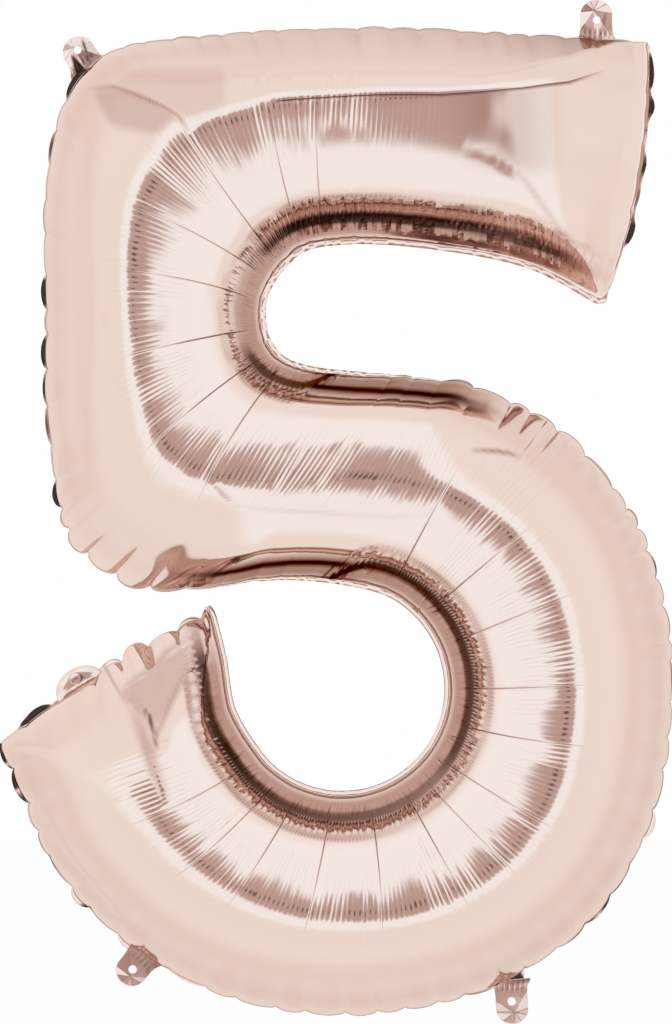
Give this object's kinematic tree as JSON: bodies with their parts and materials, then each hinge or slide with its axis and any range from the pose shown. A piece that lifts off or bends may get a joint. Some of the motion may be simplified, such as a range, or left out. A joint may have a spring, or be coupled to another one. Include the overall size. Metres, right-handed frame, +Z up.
{
  "type": "foil number balloon",
  "caption": "Inflated metallised-film balloon shaped as the digit five, with punched hanging tabs and a self-closing filling neck.",
  "frame": {"origin": "centre of the inflated balloon's bounding box, in the seam plane between the two foil panels", "axes": "+Z up the digit, +X to the right as the digit is read, -Y out of the readable front face"},
  "size_m": [0.5664, 0.15, 0.8646],
  "materials": {
    "rose_gold_foil": "mirror-bright rose-gold metallised film",
    "clear_valve_film": "milky clear polyethylene film"
  },
  "bodies": {
    "envelope": {"front_panel": "rose_gold_foil", "back_panel": "rose_gold_foil", "valve_film_front": "clear_valve_film", "valve_film_back": "clear_valve_film"},
    "tab_top_left": {"hang_tab_top_left": "rose_gold_foil"},
    "tab_top_right": {"hang_tab_top_right": "rose_gold_foil"},
    "tab_bottom_left": {"hang_tab_bottom_left": "rose_gold_foil"},
    "tab_bottom_right": {"hang_tab_bottom_right": "rose_gold_foil"},
    "fill_neck": {"fill_neck_front_ply": "rose_gold_foil", "fill_neck_back_ply": "rose_gold_foil"}
  },
  "joints": [
    {"name": "tab_top_left_flex", "type": "hinge", "parent": "envelope", "child": "tab_top_left", "pos_m": [-0.21122, 0, 0.37854], "axis": [-0.8572, 0, -0.515], "range_deg": [-80, 80], "stiffness_Nm_per_rad": 0.001},
    {"name": "tab_top_right_flex", "type": "hinge", "parent": "envelope", "child": "tab_top_right", "pos_m": [0.21984, 0, 0.40182], "axis": [-1, 0, 0], "range_deg": [-80, 80], "stiffness_Nm_per_rad": 0.001},
    {"name": "tab_bottom_left_flex", "type": "hinge", "parent": "envelope", "child": "tab_bottom_left", "pos_m": [-0.16331, 0, -0.37584], "axis": [0.7771, 0, -0.6293], "range_deg": [-80, 80], "stiffness_Nm_per_rad": 0.001},
    {"name": "tab_bottom_right_flex", "type": "hinge", "parent": "envelope", "child": "tab_bottom_right", "pos_m": [0.1474, 0, -0.39989], "axis": [0.9976, 0, 0.0698], "range_deg": [-80, 80], "stiffness_Nm_per_rad": 0.001},
    {"name": "fill_neck_flex", "type": "hinge", "parent": "envelope", "child": "fill_neck", "pos_m": [-0.21668, 0, -0.14613], "axis": [-0.8558, 0, -0.5173], "range_deg": [-80, 80], "stiffness_Nm_per_rad": 0.001}
  ]
}
